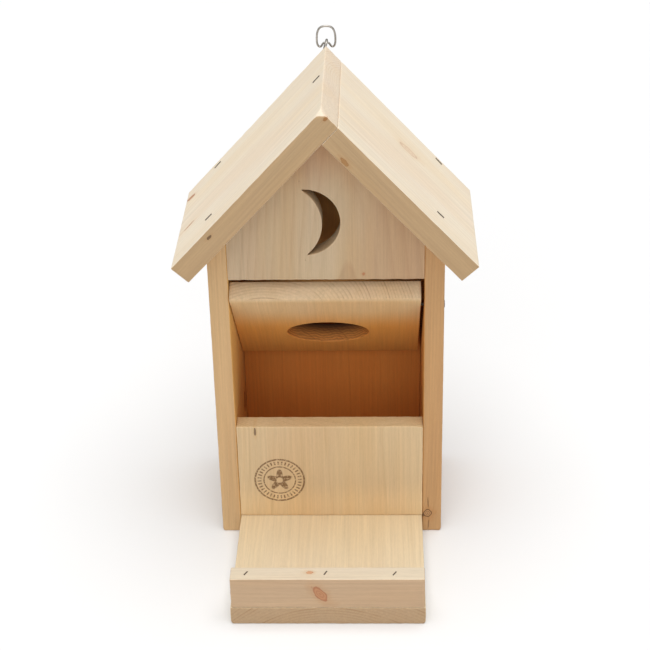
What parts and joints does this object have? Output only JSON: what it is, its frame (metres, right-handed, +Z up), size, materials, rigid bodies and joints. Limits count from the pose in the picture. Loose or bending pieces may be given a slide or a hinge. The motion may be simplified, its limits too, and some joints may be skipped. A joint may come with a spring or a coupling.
{
  "type": "birdhouse",
  "caption": "Wooden birdhouse shaped like an outhouse: gabled roof, moon window, open doorway with a tilting seat board with an oval hole, lipped platform and hanging ring.",
  "frame": {"origin": "on the ground under the middle of the house front, where the side walls' front edges stand", "axes": "+X to the right seen from the front, +Y to the back, +Z up"},
  "size_m": [0.2836, 0.3043, 0.4863],
  "materials": {
    "right_side_wall_wood": "planed and unfinished",
    "left_side_wall_wood": "planed and unfinished",
    "back_wood": "planed and unfinished",
    "gable_wood": "planed and unfinished",
    "riser_wood": "planed and unfinished",
    "floor_wood": "planed and unfinished",
    "platform_lip_wood": "planed and unfinished",
    "left_roof_wood": "planed and unfinished",
    "right_roof_wood": "planed and unfinished",
    "seat_wood": "planed and unfinished",
    "nail_steel": "plain",
    "wire_steel": "dull zinc",
    "staple_steel": "plain"
  },
  "bodies": {
    "house": {"right_side_wall": "right_side_wall_wood", "left_side_wall": "left_side_wall_wood", "back_panel": "back_wood", "gable_panel": "gable_wood", "riser_panel": "riser_wood", "floor_board": "floor_wood", "platform_lip": "platform_lip_wood", "left_roof_board": "left_roof_wood", "right_roof_board": "right_roof_wood", "right_pivot_nail": "nail_steel", "left_pivot_nail": "nail_steel", "screw_eye": "wire_steel", "ridge_staple": "staple_steel", "left_roof_staples": "staple_steel", "right_roof_staples": "staple_steel", "lip_staples": "staple_steel", "right_wall_staples": "staple_steel", "left_wall_staples": "staple_steel"},
    "seat": {"seat_board": "seat_wood"},
    "ring": {"hanging_ring": "wire_steel"}
  },
  "joints": [
    {"name": "seat_tilt", "type": "hinge", "parent": "house", "child": "seat", "pos_m": [0, 0.0289, 0.2469], "axis": [-1, 0, 0], "range_deg": [0, 43]},
    {"name": "ring_swing", "type": "hinge", "parent": "house", "child": "ring", "pos_m": [0, 0.1499, 0.46755], "axis": [1, 0, 0], "range_deg": [-180, 50]}
  ]
}
